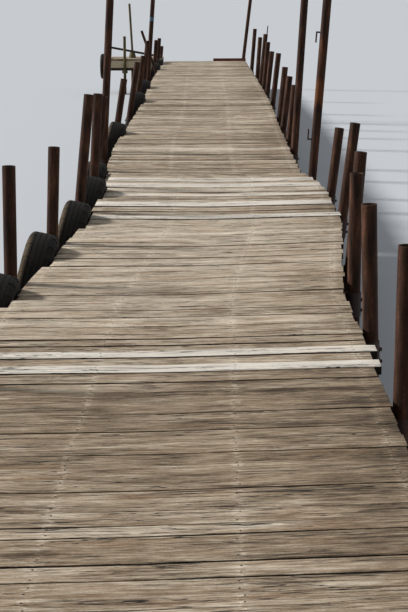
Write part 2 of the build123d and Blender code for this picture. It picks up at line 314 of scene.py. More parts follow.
# Places a hair apart are the same place, points within the merging reach are merged, and points
# of a slab that are this close are at one corner
hair = 1e-4
merge_reach = 1e-5
same_corner = 0.01
# How much lighter each bay's boards are at its start, middle and end
bay_bleach = {
    1: (0.42, -0.16, 0.50), 2: (0.46, 0.46, 0.44), 3: (0.22, 0.22, 0.24),
    4: (0.30, 0.32, 0.36), 5: (0.40, 0.42, 0.46), 6: (0.46, 0.50, 0.52),
}
# The last boards of the second bay have cupped most
cupped_bay = 2
cupped_start = 3.30
cupped_rise = 0.005
# How far the second bay's boards reach on the right, at distances along it: the last fall short
second_bay_reach = ((3.7, 0.0), (4.3, -0.045), (4.88, -0.14))
# How far askew the first bay's boards lie, in degrees, at distances along it
first_bay_skew = ((0.0, 0.0), (1.1, 1.6), (3.3, 0.0))
# The lines across which the boards are nailed, two outer and two inner stringers
nail_lines = (-0.85, -0.30, 0.30, 0.85)

# The notches that the leaning tyres stand in, along the left edge
tyre_half = 0.095
tyre_lean = 13
tyre_centre_below_deck = 0.170
tyre_clearance = 0.004
tyre_notch_half = 0.280

# Boards of the first bay from the distance where the camera first sees them, by their widths
front_start = 1.10
front_gap = 0.005
front_widths = (0.088, 0.105, 0.11, 0.20, 0.088, 0.122, 0.184, 0.12, 0.122, 0.122, 0.124, 0.134, 0.14)
# Bleached boards: bay, distance along it, width, lightness, and how far the right end stands out
pale_boards = [
    (1, 3.425, 0.105, 1.0, 0.035),
    (1, 3.665, 0.105, 0.9, 0.030),
    (2, 2.610, 0.150, 0.85, 0.020),
    (2, 3.150, 0.184, 0.65, 0.0),
    (2, 3.610, 0.120, 0.45, 0.0),
    (2, 3.840, 0.150, 0.35, 0.0),
    (2, 4.080, 0.184, 0.50, 0.0),
    (2, 4.420, 0.184, 0.32, 0.0),
    (3, 0.090, 0.184, 0.40, 0.0),
    (3, 2.010, 0.184, 0.40, 0.0),
    (3, 3.560, 0.184, 0.35, 0.0),
    (4, 0.560, 0.184, 0.30, 0.0),
    (4, 1.620, 0.184, 0.30, 0.0),
    (5, 2.600, 0.184, 0.25, 0.0),
]


def srgb(red, green, blue):
    """A colour as it looks on a screen, from 0 to 255, as the shader wants it."""
    shares = [value / 255 for value in (red, green, blue)]
    return tuple(s / 12.92 if s <= 0.04045 else ((s + 0.055) / 1.055) ** 2.4 for s in shares)


def pick(piece):
    """Makes a piece the only one selected."""
    deselect()
    piece.select_set(True)
    bpy.context.view_layer.objects.active = piece


def shape_by_noise(piece, strength, size, squeeze, direction):
    """Moves a surface by cloudy noise that is long along X: squeezed, displaced and let out again."""
    pick(piece)
    clouds = bpy.data.textures.new("wear", type="CLOUDS")
    clouds.noise_scale = size
    piece.data.transform(Matrix.Diagonal((squeeze, 1, 1, 1)))
    bpy.ops.object.modifier_add(type="DISPLACE")
    wear = piece.modifiers[-1]
    wear.texture = clouds
    wear.texture_coords = "LOCAL"
    wear.direction = direction
    wear.strength = strength
    wear.mid_level = 0.5
    bpy.ops.object.modifier_apply(modifier=wear.name)
    piece.data.transform(Matrix.Diagonal((1 / squeeze, 1, 1, 1)))


def slice_up(length, parts, direction):
    """Cuts a mesh that is in edit mode into equal parts along a direction."""
    for cut in range(1, parts):
        place = (cut / parts - 0.5) * length
        bpy.ops.mesh.select_all(action="SELECT")
        bpy.ops.mesh.bisect(plane_co=place * direction, plane_no=direction)


def saw_board(kind):
    """A board of stock length and width, its top at Z 0, with worn long edges."""
    deselect()
    bpy.ops.mesh.primitive_cube_add(size=1, location=(0, 0, 0))
    board = bpy.context.object
    board.name = f"stock_board_{kind}"
    board.data.transform(Matrix.Diagonal((stock_length, stock_width, board_thickness, 1)))
    board.data.transform(Matrix.Translation((0, 0, -board_thickness / 2)))
    bpy.ops.object.mode_set(mode="EDIT")
    slice_up(stock_length, stock_cuts, Vector((1, 0, 0)))
    slice_up(stock_width, stock_strips, Vector((0, 1, 0)))
    bpy.ops.object.mode_set(mode="OBJECT")
    mesh = board.data
    for edge in mesh.edges:
        ends = [mesh.vertices[index].co for index in edge.vertices]
        on_top = all(end.z > -hair for end in ends)
        long_edge = all(abs(end.y) > stock_width / 2 - hair for end in ends)
        cut_edge = all(abs(end.x) > stock_length / 2 - hair for end in ends)
        edge.select = on_top and (long_edge or cut_edge)
    bpy.ops.object.mode_set(mode="EDIT")
    bpy.ops.mesh.select_mode(type="EDGE")
    bpy.ops.mesh.bevel(offset=edge_wear, segments=2, profile=edge_roundness)
    bpy.ops.object.mode_set(mode="OBJECT")
    # Painted shade: the rim is 0 on a board's top and 1 down its chamfers and sides, which the wood darkens
    # so that the gaps between boards look shaded.
    rim = mesh.attributes.new("rim", "FLOAT", "POINT")
    painted_gap_shade = [min(1.0, max(0.0, -v.co.z / edge_wear)) for v in mesh.vertices]
    rim.data.foreach_set("value", painted_gap_shade)
    aside, along = stock_spacing
    mesh.transform(Matrix.Translation((aside * kind, along * kind, 0)))
    shape_by_noise(board, *top_wear, "Z")
    shape_by_noise(board, *side_wear, "Y")
    mesh.transform(Matrix.Translation((-aside * kind, -along * kind, 0)))
    bpy.ops.object.shade_smooth_by_angle(angle=math.radians(board_crease))
    return board


def lay_out(chance, start, end):
    """Board widths that fill a run exactly, with their gaps: (start, width) of each."""
    widths = []
    while end - start - sum(widths) > narrowest_board:
        widths.append(chance.choice(board_widths))
    if not widths:
        return []
    fit = (end - start) / sum(widths)
    laid = []
    for width in widths:
        gap = narrowest_gap + (widest_gap - narrowest_gap) * chance.random() ** 3
        laid.append((start, width * fit - gap))
        start += width * fit
    return laid


def boards_of_bay(chance, bay, run):
    """Each board of a bay from its start to its end: (start, width, paleness, reach to the right)."""
    fixed = [(along, width, pale, reach) for at, along, width, pale, reach in pale_boards if at == bay]
    if bay == 1:
        start = front_start
        for width in front_widths:
            fixed.append((start, width - front_gap, 0.0, 0.0))
            start += width
    laid = []
    start = bay_end_margin
    for along, width, pale, reach in sorted(fixed):
        laid += [(place, wide, 0.0, 0.0) for place, wide in lay_out(chance, start, along)]
        laid.append((along, width, pale, reach))
        start = along + width
    end = run - bay_end_margin
    laid += [(place, wide, 0.0, 0.0) for place, wide in lay_out(chance, start, end)]
    return laid


def solids_of(node):
    """The points of each solid in a node, from the near end outwards, read from a merged copy."""
    copy = bpy.data.objects.new("reading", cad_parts[node].data.copy())
    bpy.context.scene.collection.objects.link(copy)
    pick(copy)
    bpy.ops.object.mode_set(mode="EDIT")
    bpy.ops.mesh.select_all(action="SELECT")
    bpy.ops.mesh.remove_doubles(threshold=merge_reach)
    bpy.ops.mesh.separate(type="LOOSE")
    bpy.ops.object.mode_set(mode="OBJECT")
    parts = list(bpy.context.selected_objects)
    solids = [np.array([v.co for v in part.data.vertices]) for part in parts]
    for part in parts:
        bpy.data.objects.remove(part)
    return sorted(solids, key=lambda points: points[:, 1].mean())


def find_notches():
    """Each notch for a tyre: the distance along the jetty of its middle, and its right side."""
    lean = math.radians(tyre_lean)
    face = tyre_half / math.cos(lean) + tyre_centre_below_deck * math.tan(lean)
    notches = []
    for bay in bays:
        for points in solids_of(f"tyres_bay_{bay}"):
            middle = (points.min(0) + points.max(0)) / 2
            notches.append((middle[1], middle[0] + face + tyre_clearance))
    return notches


def cut_back(rows, start, width):
    """How far a notch cuts back the left end of a board of the bay with these corners."""
    near, middle, far = [row[0] for row in rows]
    at = near.y + start + width / 2
    first, last = (near, middle) if at < middle.y else (middle, far)
    edge = first.x + (last.x - first.x) * (at - first.y) / (last.y - first.y)
    cuts = [right - edge for centre, right in notches if abs(centre - at) < tyre_notch_half + width / 2]
    return max([0.0] + cuts)


def slab_corners(bay):
    """The slab's top at its start, middle and end, each from left to right."""
    points = np.array([v.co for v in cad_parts[f"deck_bay_{bay}"].data.vertices])
    near, far = points[:, 1].min(), points[:, 1].max()
    rows = []
    for y in (near, (near + far) / 2, far):
        station = points[abs(points[:, 1] - y) < same_corner]
        station = station[np.argsort(station[:, 0])]
        right = station[-1, 0]
        left = right - 2 * deck_half
        row = []
        for x, seen in ((left, station[0, 0]), ((left + right) / 2, (left + right) / 2), (right, right)):
            heights = station[abs(station[:, 0] - seen) < same_corner, 2]
            row.append(Vector((x, y, heights.max() if len(heights) else math.nan)))
        if math.isnan(row[1].z):
            row[1].z = (row[0].z + row[2].z) / 2
        rows.append(row)
    return rows


def bend_to_slab(piece, rows, run):
    """Bends a straight flat bay to its slab, in a cage with a point at each of the slab's corners."""
    stations = 3
    deselect()
    bpy.ops.object.add(type="LATTICE", location=(0, run / 2, -board_thickness / 2))
    cage = bpy.context.object
    cage.scale = (2 * deck_half, run, board_thickness)
    cage.data.points_u = stations
    cage.data.points_v = stations
    cage.data.interpolation_type_u = "KEY_LINEAR"
    cage.data.interpolation_type_v = "KEY_LINEAR"
    cage.data.interpolation_type_w = "KEY_LINEAR"
    bpy.context.view_layer.update()
    to_cage = cage.matrix_world.inverted()
    for index, point in enumerate(cage.data.points):
        across = index % stations
        along = index // stations % stations
        depth = board_thickness if index < stations * stations else 0.0
        point.co_deform = to_cage @ (rows[along][across] - Vector((0, 0, depth)))
    pick(piece)
    bpy.ops.object.modifier_add(type="LATTICE")
    bend = piece.modifiers[-1]
    bend.object = cage
    bpy.ops.object.modifier_apply(modifier=bend.name)
    bpy.data.objects.remove(cage)


def join(pieces, name):
    """Joins pieces into the first one and names it."""
    deselect()
    for piece in pieces:
        piece.select_set(True)
    bpy.context.view_layer.objects.active = pieces[0]
    if len(pieces) > 1:
        bpy.ops.object.join()
    joined = bpy.context.object
    joined.name = name
    return joined


def copy_of(piece, matrix):
    """A copy with its own mesh, moved there in its mesh."""
    made = piece.copy()
    made.data = piece.data.copy()
    made.data.transform(matrix)
    bpy.context.scene.collection.objects.link(made)
    return made


def give_grain(piece, chance, tone):
    """Writes where each point lies in its own board, for the grain, and the board's tone."""
    mesh = piece.data
    points = np.empty(len(mesh.vertices) * 3)
    mesh.vertices.foreach_get("co", points)
    shift = [chance.uniform(0, 40) for axis in range(3)]
    grain = mesh.attributes.new("grain_at", "FLOAT_VECTOR", "POINT")
    grain.data.foreach_set("vector", (points.reshape(-1, 3) + shift).ravel())
    shade = mesh.attributes.new("board_tone", "FLOAT", "POINT")
    shade.data.foreach_set("value", [tone] * len(mesh.vertices))


def cup_board(board, width, rise):
    """Lifts a board's long edges above its middle."""
    for vertex in board.data.vertices:
        vertex.co.z += rise * ((2 * vertex.co.y / width) ** 2 - cup_level)


def lay_board(chance, stock, bleach, cup, cut, skew, start, width, pale, reach):
    """One board of a bay, a little out of true, and the matrix that laid it."""
    left = -deck_half + max(cut, chance.uniform(-end_reach_left, end_raggedness))
    right = deck_half - chance.uniform(-end_reach_right, end_raggedness) + reach
    scale = Matrix.Diagonal(((right - left) / stock_length, width / stock_width, 1, 1))
    board = copy_of(stock, scale)
    tone = chance.gauss(usual_tone, tone_spread)
    give_grain(board, chance, min(max(tone, 0.0), 1.0) + bleach + pale)
    cup_board(board, width, cup)
    lift = chance.uniform(lowest_lift, highest_lift) + pale_lift * pale
    roll = Matrix.Rotation(math.radians(chance.gauss(0, board_roll)), 4, "X")
    yaw = Matrix.Rotation(math.radians(skew + chance.gauss(0, board_yaw)), 4, "Z")
    place = Matrix.Translation(((left + right) / 2, start + width / 2, lift)) @ yaw @ roll
    board.data.transform(place)
    across = board.data.attributes.new("across_at", "FLOAT", "POINT")
    across.data.foreach_set("value", [vertex.co.x for vertex in board.data.vertices])
    return board, place


def weathered_wood(name, dark, middle, pale, warm):
    """Grey softwood: long streaks of grain, split by fine checks and stained, with painted shade on its
    chamfers and sides, where the gaps between boards lie in shade.
    """
    material, shader, shades, place = new_finish(name, roughness=0.85, specular=0.25)
    at = shades.attribute("grain_at", "Vector")
    tone = shades.attribute("board_tone")
    rim = shades.attribute("rim")
    across = shades.attribute("across_at")
    blotches = at.stretched(3.4, 15, 6).noise(detail=4, roughness=0.6)
    streaks = at.stretched(6.5, 105, 50).noise(detail=5, roughness=0.68)
    fibres = at.stretched(26, 480, 200).noise(detail=4, roughness=0.7)
    specks = at.stretched(130, 420, 200).noise(detail=2)
    checks = at.stretched(1.6, 40, 10, (3, 7, 1)).noise(detail=4, roughness=0.55, distortion=0.5)
    patches = at.stretched(1.4, 10, 3, (9, 2, 4)).noise(detail=2)
    split_width = patches.between(0.38, 0.62) * 0.017 + 0.0006
    split = 1 - ((checks - 0.5).size() / split_width).between(0.4, 1.0)
    stains = at.stretched(1.7, 15, 5, (1, 8, 3)).noise(detail=5, roughness=0.65).between(0.53, 0.70)
    cells = at.stretched(4.2, 9, 4, (2, 3, 8))
    from_knots = cells.node("ShaderNodeTexVoronoi", {}, {"Vector": cells, "Scale": 1.0}, "Distance")
    knots = (1 - from_knots.between(0.05, 0.11)) * patches.between(0.52, 0.58)
    from_nails = (across - nail_lines[0]).size()
    for line in nail_lines[1:]:
        from_nails = from_nails.sum("MINIMUM", from_nails, (across - line).size())
    scuffs_and_lit_patches = at.stretched(45, 110, 60).noise(detail=3).between(0.45, 0.62)
    trodden = (1 - from_nails.between(0.0, 0.035)) * scuffs_and_lit_patches
    light = tone * 0.42 + (blotches - 0.5) * 0.90 + (streaks - 0.5) * 1.35 + (fibres - 0.5) * 1.10
    light = light + (specks - 0.5) * 0.40 - stains * 0.36 + trodden * 0.26 + 0.26
    damp = place.stretched(1.1, 0.8, 1.0).noise(detail=4).between(0.42, 0.62)
    light = light - across.between(0.35, 0.9) * damp * 0.22
    wood = light.ramp((0.0, dark), (0.42, middle), (1.0, pale))
    warmth = at.stretched(2.6, 14, 5, (5, 5, 5)).noise(detail=4).between(0.50, 0.72)
    wood = wood.tint(warm, warmth * 0.32)
    bleached = tone.between(1.1, 1.7)
    wood = (bleached * 0.5).blend(wood, srgb(232, 229, 222))
    # Painted shade on the chamfers and sides (the rim), where the gaps between boards lie in shade,
    # darkened together with the checks and the knots
    shade_and_dirt = (rim * 0.95 + split * 0.95 + knots * 0.7).between(0.0, 1.0)
    wood = shade_and_dirt.blend(wood, srgb(26, 21, 17))
    height = streaks * 0.8 + fibres * 0.6 + trodden * 0.2 - split * 1.6
    finish_with(shader, shades, wood, 0.95 - streaks * 0.2, height, relief=0.0022)
    return material


deck_wood = weathered_wood(
    "weathered_deck", srgb(72, 58, 44), srgb(148, 128, 104), srgb(232, 217, 195), srgb(226, 188, 146)
)
chance = random.Random(29)
stock_boards = [saw_board(kind) for kind in range(stock_kinds)]
notches = find_notches()
board_places = {}
for bay in bays:
    low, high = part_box(f"deck_bay_{bay}")
    run = high.y - low.y
    rows = slab_corners(bay)
    boards = boards_of_bay(chance, bay, run)
    laid = []
    for start, width, pale, reach in boards:
        bleach = float(np.interp(start / run, (0, 0.5, 1), bay_bleach[bay]))
        skew = float(np.interp(start, *zip(*first_bay_skew))) if bay == 1 else 0.0
        cupped = bay == cupped_bay and start > cupped_start
        cup = cupped_rise if cupped else abs(chance.gauss(0, board_cup))
        cut = cut_back(rows, start, width)
        if bay == cupped_bay:
            reach += float(np.interp(start, *zip(*second_bay_reach)))
        stock = chance.choice(stock_boards)
        laid.append(lay_board(chance, stock, bleach, cup, cut, skew, start, width, pale, reach))
    board_places[bay] = [(place, board[1]) for board, (piece, place) in zip(boards, laid)]
    deck = join([piece for piece, place in laid], f"deck_boards_bay_{bay}")
    bend_to_slab(deck, rows, run)
    coat(deck, deck_wood)
    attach(deck, "root")
    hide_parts(f"deck_bay_{bay}")


# Nails: two through each board into each of the four stringers, their heads driven flush and
# rusted dark. They are set in the flat boards' places and bent with them.
nail_head = 0.0045
nail_depth = 0.004
nail_stand_up = 0.0006
nail_from_edge = 0.28
nail_scatter = 0.009
nail_sides = 8
# Where rust flakes off between two heights, the flaking fades in and out over this much
flake_fade = 0.1


def forge_nail():
    deselect()
    bpy.ops.mesh.primitive_cylinder_add(vertices=nail_sides, radius=nail_head, depth=nail_depth)
    nail = bpy.context.object
    nail.data.transform(Matrix.Translation((0, 0, nail_stand_up - nail_depth / 2)))
    top = nail_stand_up - hair
    for edge in nail.data.edges:
        edge.select = all(nail.data.vertices[index].co.z > top for index in edge.vertices)
    bpy.ops.object.mode_set(mode="EDIT")
    bpy.ops.mesh.select_mode(type="EDGE")
    bpy.ops.mesh.bevel(offset=nail_head / 4, segments=1)
    bpy.ops.object.mode_set(mode="OBJECT")
    return nail


def rust(name, dark, middle, bright, roughness=0.62, specular=0.4, along=(30, 30, 5), flakes_at=None):
    """Steel under old rust: brown scale in runs, pitted, brighter where it flakes off at a height."""
    material, shader, shades, place = new_finish(name, roughness=roughness, specular=specular)
    runs = place.stretched(*along).noise(detail=4)
    scale = place.stretched(160, 160, 110).noise(detail=4, roughness=0.65)
    share = (runs - 0.5) * 1.5 + (scale - 0.5) * 0.7 + 0.5
    colour = share.ramp((0.15, dark), (0.6, middle), (1.0, bright))
    rough = 0.5 + scale * 0.3
    if flakes_at is not None:
        low, high = flakes_at
        ragged = place.along_z() + (runs - 0.5) * 0.3
        above_low = ragged.between(low, low + flake_fade)
        below_high = 1 - ragged.between(high - flake_fade, high)
        colour = (above_low * below_high * 0.6).blend(colour, srgb(128, 76, 44))
    finish_with(shader, shades, colour, rough, scale * 0.6 + runs * 0.4, relief=0.0012)
    return material


nail_rust = rust("nail_rust", srgb(22, 18, 16), srgb(48, 38, 32), srgb(88, 62, 48))
nail = forge_nail()
for bay, places in board_places.items():
    driven = []
    for place, width in places:
        for line in nail_lines:
            for share in (-nail_from_edge, nail_from_edge):
                x = line + chance.uniform(-nail_scatter, nail_scatter) - place.translation.x
                y = share * width + chance.uniform(-nail_scatter, nail_scatter)
                driven.append(copy_of(nail, place @ Matrix.Translation((x, y, 0))))
    nails = join(driven, f"deck_nails_bay_{bay}")
    low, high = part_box(f"deck_bay_{bay}")
    bend_to_slab(nails, slab_corners(bay), high.y - low.y)
    coat(nails, nail_rust)
    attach(nails, "root")
bpy.data.objects.remove(nail)


# Timber below the deck: four stringers in each bay, boards across the joints and beams across
# under the stringers, all rough-sawn, dark with damp and spiked together.
def paint_cad(material, *nodes):
    """Puts a material in the slots of nodes that stay as they are."""
    for node in nodes:
        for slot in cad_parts[node].material_slots:
            slot.material = material


def damp_timber(name, dark, light, along):
    """Rough-sawn timber, dark with damp, its grain running as the scales say."""
    material, shader, shades, place = new_finish(name, roughness=0.8, specular=0.3)
    streaks = place.stretched(*[8 * scale for scale in along]).noise(detail=5, roughness=0.6)
    stains = place.stretched(*along).noise(detail=3)
    saw_marks = place.stretched(*[30 * scale for scale in along]).noise(detail=2)
    share = (streaks - 0.5) * 1.4 + (stains - 0.5) * 1.2 + 0.5
    wood = share.ramp((0.1, dark), (0.95, light))
    finish_with(shader, shades, wood, 0.9 - stains * 0.3, streaks + saw_marks * 0.4, relief=0.002)
    return material


stringer_wood = damp_timber("stringer_timber", srgb(38, 31, 26), srgb(96, 82, 68), (9, 0.6, 7))
beam_wood = damp_timber("beam_timber", srgb(34, 28, 24), srgb(88, 75, 62), (0.6, 9, 7))
for bay in bays:
    paint_cad(stringer_wood, f"stringers_bay_{bay}")
    paint_cad(beam_wood, f"cross_beams_bay_{bay}")
paint_cad(beam_wood, "joint_boards", "shore_header", "far_header")


# The end board: a rough-sawn board on edge across the right of the far end, nailed to the
# stringers' ends. It stands a little above the deck, and keeps a red-brown stain.
end_wood = damp_timber("red_brown_board", srgb(74, 38, 34), srgb(132, 84, 72), (0.8, 9, 12))
paint_cad(end_wood, "far_end_board")


# Piles and tall poles: 76 mm steel pipe, driven by hand and leaning as they settled, brown with
# rust. Their tops are open, and a thin ring of metal shows where each was cut.
plain_tall_poles = ("right_tall_pole", "left_tall_pole", "far_left_tall_pole", "far_right_tall_pole")
flaked_heights = (1.20, 1.52)
pile_rust = rust("rusty_pipe", srgb(18, 10, 7), srgb(72, 47, 35), srgb(130, 90, 68), specular=0.15)
pole_rust = rust(
    "rusty_pole", srgb(20, 11, 8), srgb(72, 46, 34), srgb(128, 86, 62),
    specular=0.15, along=(22, 22, 3), flakes_at=flaked_heights
)
for bay in bays:
    paint_cad(pile_rust, f"piles_bay_{bay}")
paint_cad(pile_rust, *plain_tall_poles, "leaning_stake")
paint_cad(pole_rust, "hooked_tall_pole")


# Brackets: a plate bolted to the edge stringer, a web and a pipe sleeve that slides on the pile.
# Two set screws in the sleeve's outer side hold it at its height.
sleeve_radius = 0.0433
plate_thickness = 0.008
plate_half = 0.038
bolt_head = 0.0095
bolt_height = 0.010
bolt_sides = 6
washer_radius = 0.014
washer_height = 0.002
washer_sides = 14
screw_drops = (0.045, 0.105)
# A bracket shorter than this along the jetty is the corner one: its plate lies across the far end
shortest_side_plate = 0.105
corner_bolts_half = 0.041
# A leaning pipe's top ring lies within this height
top_ring_height = 0.014


def pipe_axis(points):
    """The middle of a leaning pipe's foot and of its top."""
    foot = points[points[:, 2] < points[:, 2].min() + hair]
    top = points[points[:, 2] > points[:, 2].max() - top_ring_height]
    return Vector(foot.mean(0)), Vector(top.mean(0))


def forge_bolt():
    """A hexagon head on a washer, pointing along X."""
    deselect()
    bpy.ops.mesh.primitive_cylinder_add(vertices=washer_sides, radius=washer_radius, depth=washer_height)
    washer = bpy.context.object
    washer.data.transform(Matrix.Translation((0, 0, washer_height / 2)))
    deselect()
    bpy.ops.mesh.primitive_cylinder_add(vertices=bolt_sides, radius=bolt_head, depth=bolt_height)
    head = bpy.context.object
    head.data.transform(Matrix.Translation((0, 0, washer_height + bolt_height / 2)))
    bpy.ops.object.mode_set(mode="EDIT")
    bpy.ops.mesh.select_all(action="SELECT")
    bpy.ops.mesh.bevel(offset=bolt_height / 8, segments=1)
    bpy.ops.object.mode_set(mode="OBJECT")
    bolt = join([head, washer], "stock_bolt")
    bolt.data.transform(Matrix.Rotation(math.radians(90), 4, "Y"))
    return bolt


bracket_rust = rust("bracket_rust", srgb(26, 19, 17), srgb(56, 38, 31), srgb(104, 62, 40), roughness=0.7)
paint_cad(bracket_rust, "right_brackets", "left_brackets")
pile_nodes = [f"piles_bay_{bay}" for bay in bays]
pile_nodes += ["hooked_tall_pole", *plain_tall_poles]
pile_axes = [pipe_axis(points) for node in pile_nodes for points in solids_of(node)]
bolt = forge_bolt()
for side, outward in (("right", 1), ("left", -1)):
    bolts = []
    turned = Matrix.Rotation(0 if outward > 0 else math.pi, 4, "Z")
    for points in solids_of(f"{side}_brackets"):
        low, high = Vector(points.min(0)), Vector(points.max(0))
        middle = (low + high) / 2
        foot, top = min(pile_axes, key=lambda axis: abs(axis[0].y - middle.y) + abs(axis[0].x - middle.x))
        for drop in screw_drops:
            z = high.z - drop
            axis = foot.lerp(top, (z - foot.z) / (top.z - foot.z))
            place = Vector((axis.x + outward * sleeve_radius, axis.y, z))
            bolts.append(copy_of(bolt, Matrix.Translation(place) @ turned))
        if high.y - low.y < shortest_side_plate:
            beyond = Matrix.Rotation(math.radians(90), 4, "Z")
            for across in (-corner_bolts_half, corner_bolts_half):
                place = Vector((middle.x + across, low.y + plate_thickness, middle.z))
                bolts.append(copy_of(bolt, Matrix.Translation(place) @ beyond))
            continue
        plate = low.x + plate_thickness if outward > 0 else high.x - plate_thickness
        for along in (-plate_half, plate_half):
            place = Vector((plate, middle.y + along, middle.z))
            bolts.append(copy_of(bolt, Matrix.Translation(place) @ turned))
    bolts = join(bolts, f"{side}_bracket_bolts")
    coat(bolts, bracket_rust)
    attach(bolts, "root")
bpy.data.objects.remove(bolt)


# Hooks and a loose rod: two hooks of bent steel rod on one tall pole, the upper turned down and
# the lower turned up, and a straight rod that stands in one pile's open top.
paint_cad(bracket_rust, "pole_hooks", "loose_rod")


# Tape: a few turns of blue-grey tape, wound a little aslant round the far left tall pole, about a
# metre above the deck.
tape_height = 0.07
tape_above_feet = 1.72
tape_radius = 0.0388
tape_thickness = 0.0008
tape_turns = 3
tape_slope = 0.12
tape_sides = 48
tape_crease = 30


def wind_tape():
    foot, top = pipe_axis(solids_of("far_left_tall_pole")[0])
    deselect()
    bpy.ops.mesh.primitive_cylinder_add(
        vertices=tape_sides, radius=tape_radius, depth=tape_height, end_fill_type="NOTHING"
    )
    tape = bpy.context.object
    tape.name = "pole_tape"
    bpy.ops.object.mode_set(mode="EDIT")
    for turn in range(1, tape_turns):
        bpy.ops.mesh.select_all(action="SELECT")
        height = (turn / tape_turns - 0.5) * tape_height
        bpy.ops.mesh.bisect(plane_co=(0, 0, height), plane_no=(tape_slope, 0, 1))
    bpy.ops.object.mode_set(mode="OBJECT")
    bpy.ops.object.modifier_add(type="SOLIDIFY")
    tape.modifiers[-1].thickness = tape_thickness
    bpy.ops.object.modifier_apply(modifier=tape.modifiers[-1].name)
    axis = (top - foot).normalized()
    turn = axis.to_track_quat("Z", "Y").to_matrix().to_4x4()
    middle = foot.lerp(top, (tape_above_feet - foot.z) / (top.z - foot.z))
    tape.data.transform(Matrix.Translation(middle) @ turn)
    bpy.ops.object.shade_smooth_by_angle(angle=math.radians(tape_crease))
    return tape


material, shader, shades, place = new_finish("pole_tape", roughness=0.55, specular=0.4)
creases = place.stretched(60, 60, 25).noise(detail=3)
tape_blue = creases.blend(srgb(58, 82, 104), srgb(96, 122, 142))
finish_with(shader, shades, tape_blue, None, creases, relief=0.0006)
tape = wind_tape()
coat(tape, material)
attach(tape, "root")


# Tyres: worn car tyres as fenders, each standing against its pile on the side of the near end and
# leaning in over the deck's edge. The rubber is black and grooved round the tread, and the shoulder
# that faces the lamp carries a painted highlight in brown patches.
tyre_radius = 0.305
tyre_rim = 0.175
tyre_bead_half = 0.060
tyre_wall = 0.012
crown_drop = 0.002
groove_depth = 0.003
groove_half = 0.0025
groove_floor_half = 0.0015
groove_places = (-0.048, -0.017, 0.017, 0.048)
tyre_steps = 72
tyre_crease = 32
# The shoulders' notches lie between two distances across and outside a distance from the axle
notch_from = 0.052
notch_to = 0.088
notch_outside = 0.285
notch_every = 4
notch_depth = 0.003


def tyre_section():
    """A worn tyre's section from bead to bead and back inside: (distance from the axle, across)."""
    shoulder = [(tyre_radius - 0.006, 0.072), (tyre_radius - crown_drop, 0.060)]
    crown = []
    for place in groove_places:
        edge = tyre_radius - crown_drop * abs(place) / groove_places[-1]
        crown += [
            (edge, place - groove_half), (edge - groove_depth, place - groove_floor_half),
            (edge - groove_depth, place + groove_floor_half), (edge, place + groove_half),
        ]
    wall = [
        (tyre_rim, tyre_bead_half), (tyre_rim + 0.012, tyre_bead_half + 0.012), (0.210, 0.086),
        (0.240, tyre_half), (0.262, 0.0945), (0.280, 0.089), (0.292, 0.081),
    ]
    inner = [
        (0.290, 0.060), (0.272, 0.078), (0.240, tyre_half - tyre_wall), (0.208, 0.072),
        (tyre_rim, tyre_bead_half - 0.014),
    ]
    side = wall + shoulder
    outer = [(radius, -across) for radius, across in side] + crown + side[::-1]
    lining = inner[::-1] + [(radius, -across) for radius, across in inner]
    return outer + lining


def mould_tyre():
    """A tyre round the Z axis: its section is spun, and its shoulders are notched."""
    section = tyre_section()
    deselect()
    bpy.ops.mesh.primitive_circle_add(vertices=len(section), radius=1)
    tyre = bpy.context.object
    tyre.name = "stock_tyre"
    for vertex, (radius, across) in zip(tyre.data.vertices, section):
        vertex.co = (radius, 0, across)
    bpy.ops.object.mode_set(mode="EDIT")
    bpy.ops.mesh.select_all(action="SELECT")
    bpy.ops.mesh.spin(steps=tyre_steps, angle=2 * math.pi, center=(0, 0, 0), axis=(0, 0, 1))
    bpy.ops.mesh.select_all(action="SELECT")
    bpy.ops.mesh.remove_doubles(threshold=merge_reach)
    bpy.ops.mesh.normals_make_consistent(inside=False)
    bpy.ops.mesh.select_mode(type="FACE")
    bpy.ops.mesh.select_all(action="DESELECT")
    bpy.ops.object.mode_set(mode="OBJECT")
    for face in tyre.data.polygons:
        step = math.floor(math.atan2(face.center.y, face.center.x) / math.tau * tyre_steps)
        shoulder = notch_from < abs(face.center.z) < notch_to
        tread = math.hypot(face.center.x, face.center.y) > notch_outside
        outside = face.normal.x * face.center.x + face.normal.y * face.center.y > 0
        face.select = shoulder and tread and outside and step % notch_every == 0
    bpy.ops.object.mode_set(mode="EDIT")
    bpy.ops.mesh.extrude_region_shrink_fatten(TRANSFORM_OT_shrink_fatten={"value": -notch_depth})
    bpy.ops.mesh.select_all(action="DESELECT")
    bpy.ops.object.mode_set(mode="OBJECT")
    at = tyre.data.attributes.new("tyre_at", "FLOAT_VECTOR", "POINT")
    points = np.empty(len(tyre.data.vertices) * 3)
    tyre.data.vertices.foreach_get("co", points)
    at.data.foreach_set("vector", points)
    bpy.ops.object.shade_smooth_by_angle(angle=math.radians(tyre_crease))
    return tyre


def worn_rubber():
    """Black rubber, greyed and cracked by weather, with a painted highlight in brown patches on the
    shoulder that faces the lamp.
    """
    material, shader, shades, place = new_finish("tyre_rubber", roughness=0.8, specular=0.2)
    across = shades.attribute("tyre_at", "Vector").along_z()
    dust = place.stretched(9, 9, 9).noise(detail=4)
    grit = place.stretched(260, 260, 260).noise(detail=3)
    cracks = place.stretched(70, 70, 22).noise(detail=4)
    scuffs_and_lit_patches = place.stretched(14, 4, 4).noise(detail=3).between(0.30, 0.62)
    # Painted highlight: the shoulder on the lamp's side, the left, is lightened brown in patches
    lit_shoulder = (0 - across).between(0.050, 0.078) * scuffs_and_lit_patches
    soiled = (dust * 0.7 + grit * 0.45 + cracks * 0.35).between(0.62, 1.05)
    rubber = soiled.blend(srgb(7, 6, 5), srgb(46, 39, 32))
    rubber = (lit_shoulder * 0.75).blend(rubber, srgb(92, 76, 54))
    height = grit * 0.3 + cracks * 0.5
    finish_with(shader, shades, rubber, 0.6 + dust * 0.35, height, relief=0.0012)
    return material


